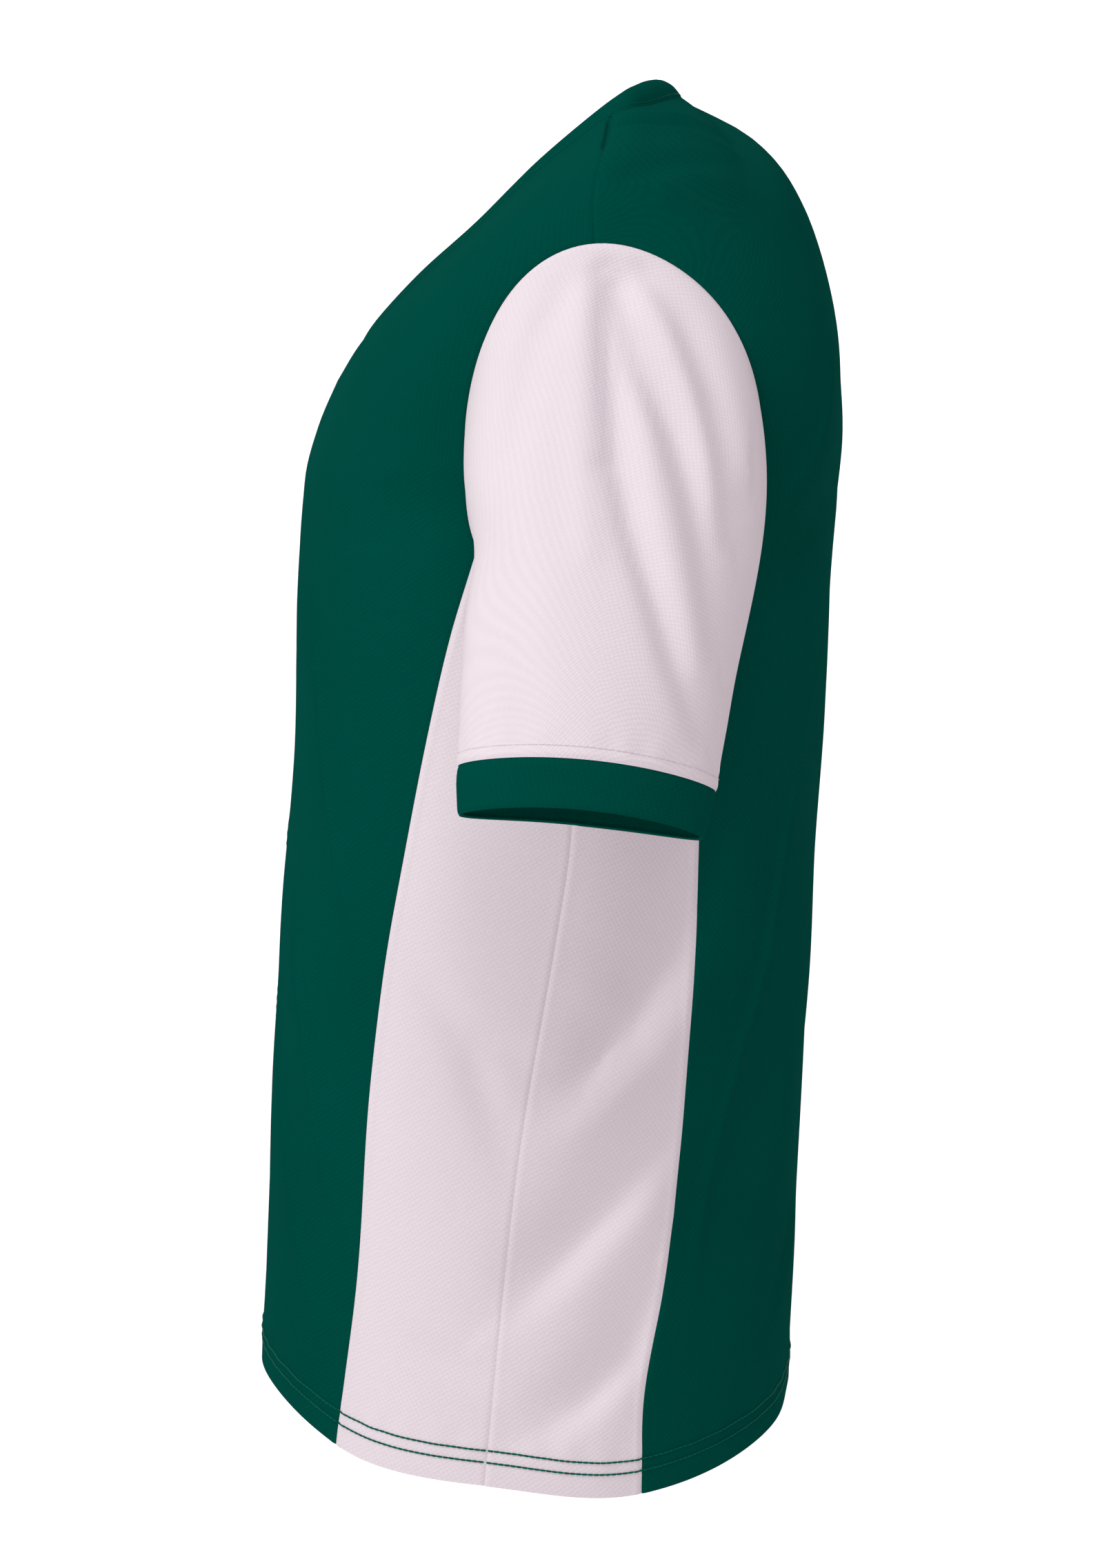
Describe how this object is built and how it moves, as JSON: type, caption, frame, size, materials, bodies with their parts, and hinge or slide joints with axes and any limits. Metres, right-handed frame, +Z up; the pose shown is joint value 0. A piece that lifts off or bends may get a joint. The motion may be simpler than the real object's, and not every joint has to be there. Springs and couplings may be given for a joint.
{
  "type": "football jersey",
  "caption": "Short-sleeved football jersey in dark green and pale mesh knit, hollow and filled out as worn, with a V neckline, folded cuffs and pale side inserts.",
  "frame": {"origin": "midway between the two high shoulder points, where the shoulder seams meet the neckline", "axes": "+Z up, front toward -Y, the wearer's left toward +X"},
  "size_m": [0.6432, 0.3144, 0.7393],
  "materials": {
    "green_knit": "matte knit with a faint sheen",
    "pale_mesh": "matte fine mesh knit"
  },
  "bodies": {
    "root": {"front_panel": "green_knit", "back_panel": "green_knit", "side_front_left": "pale_mesh", "side_back_left": "pale_mesh", "side_front_right": "pale_mesh", "side_back_right": "pale_mesh", "sleeve_left": "pale_mesh", "sleeve_right": "pale_mesh", "cuff_left": "green_knit", "cuff_right": "green_knit", "neckband": "green_knit"}
  },
  "joints": []
}
